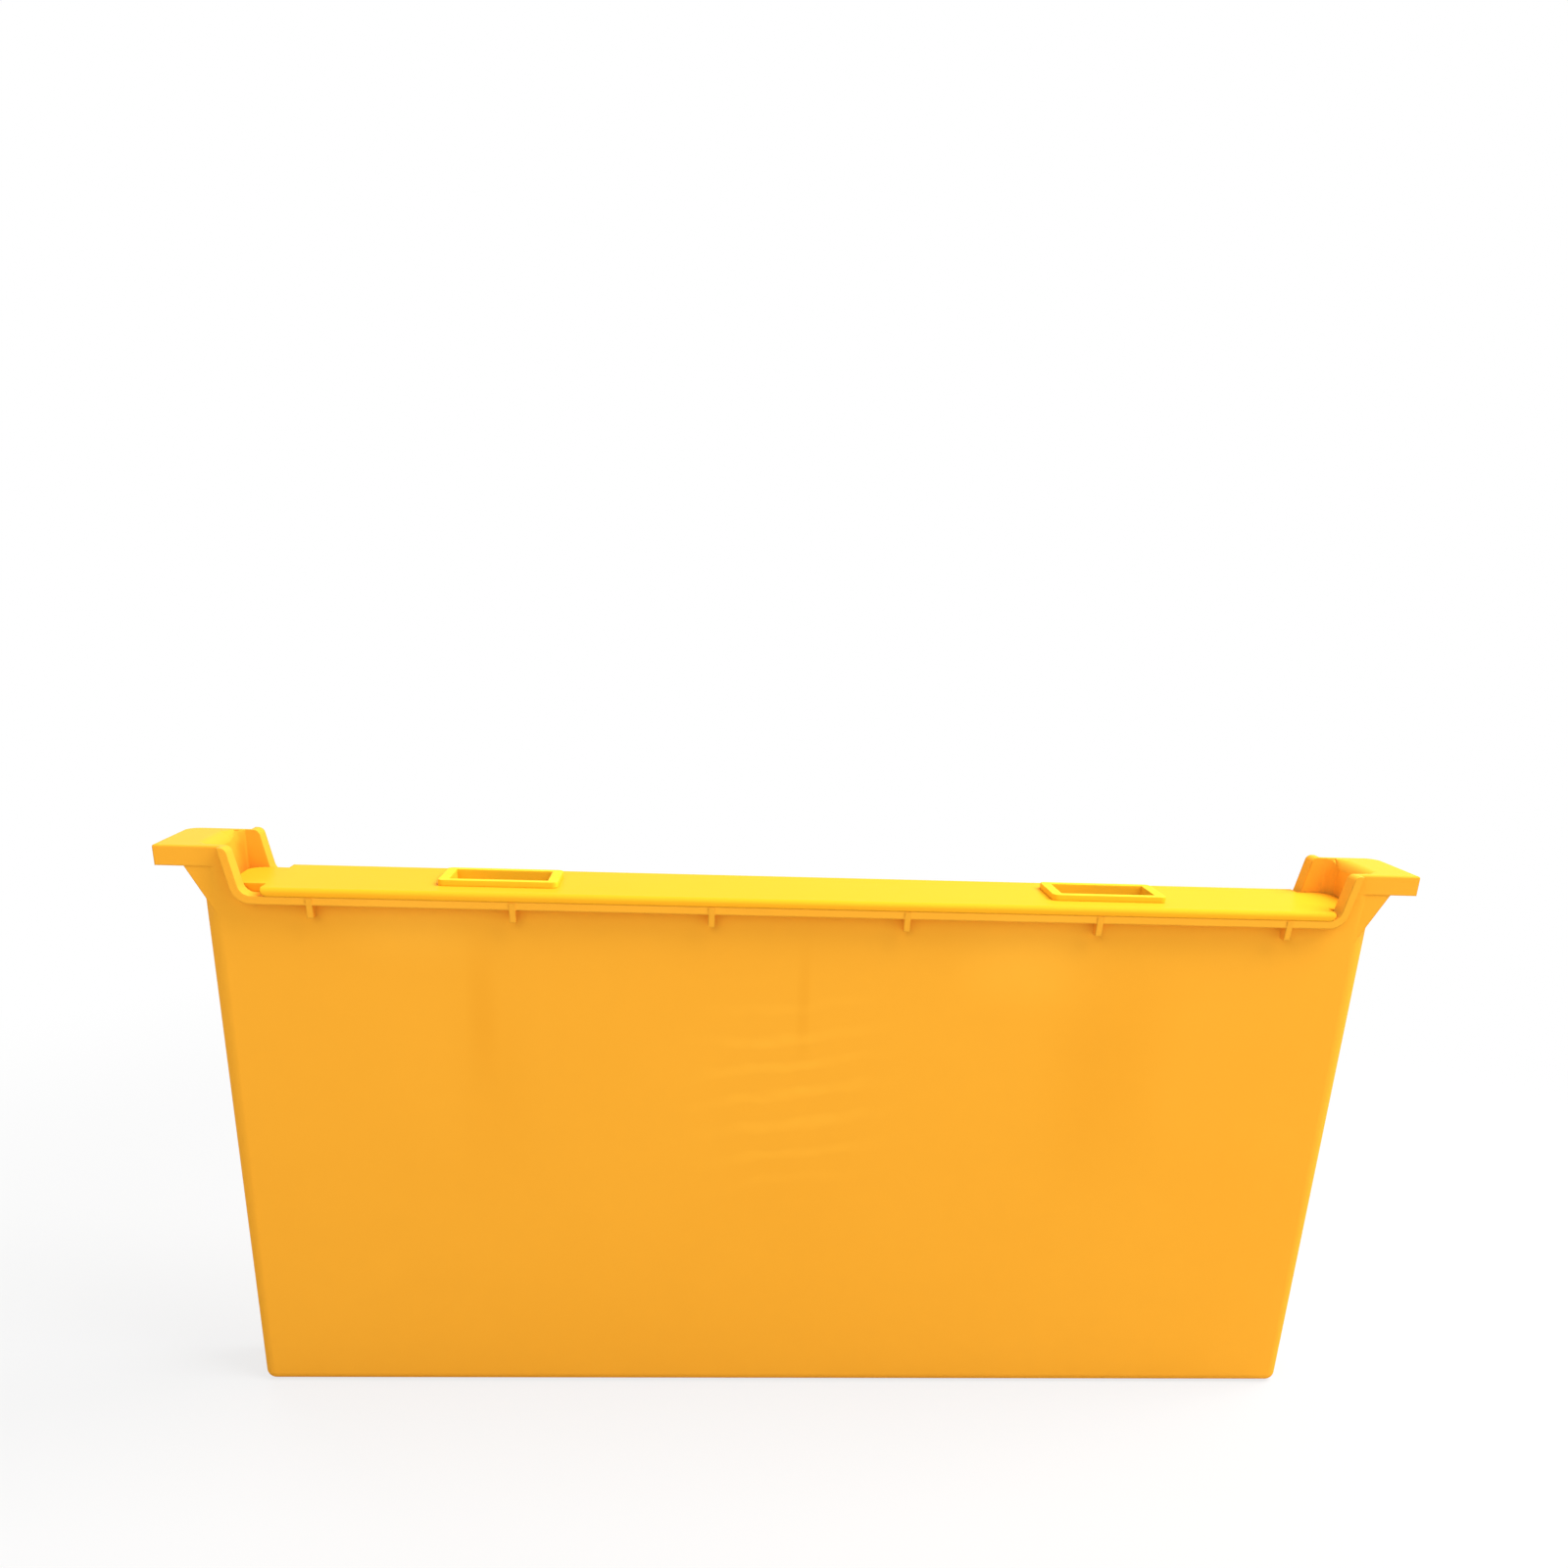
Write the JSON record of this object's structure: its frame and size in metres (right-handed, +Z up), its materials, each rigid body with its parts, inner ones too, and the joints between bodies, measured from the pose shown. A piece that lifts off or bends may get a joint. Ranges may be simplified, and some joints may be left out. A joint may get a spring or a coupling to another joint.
{
  "type": "hive frame feeder",
  "caption": "Narrow moulded trough that hangs by end lugs in a hive, with a lift-off lid and mesh ladder cages that let bees reach the water or syrup.",
  "frame": {"origin": "middle of the trough's underside", "axes": "+X along the length towards the right lug seen from the front, +Y towards the back, +Z up"},
  "size_m": [0.482, 0.0462, 0.232],
  "materials": {
    "trough_plastic": "glossy as moulded",
    "lid_plastic": "glossy as moulded",
    "cage_plastic": "glossy as moulded"
  },
  "bodies": {
    "trough": {"feeder_box": "trough_plastic"},
    "cover": {"lid": "lid_plastic"},
    "left_ladder": {"left_cage_front": "cage_plastic", "left_cage_back": "cage_plastic"},
    "right_ladder": {"right_cage_front": "cage_plastic", "right_cage_back": "cage_plastic"}
  },
  "joints": [
    {"name": "lid_lift", "type": "slide", "parent": "trough", "child": "cover", "axis": [0, 0, 1], "range_m": [0, 0.24]},
    {"name": "left_cage_lift", "type": "slide", "parent": "cover", "child": "left_ladder", "axis": [0, 0, 1], "range_m": [0, 0.22]},
    {"name": "right_cage_lift", "type": "slide", "parent": "cover", "child": "right_ladder", "axis": [0, 0, 1], "range_m": [0, 0.22]}
  ]
}
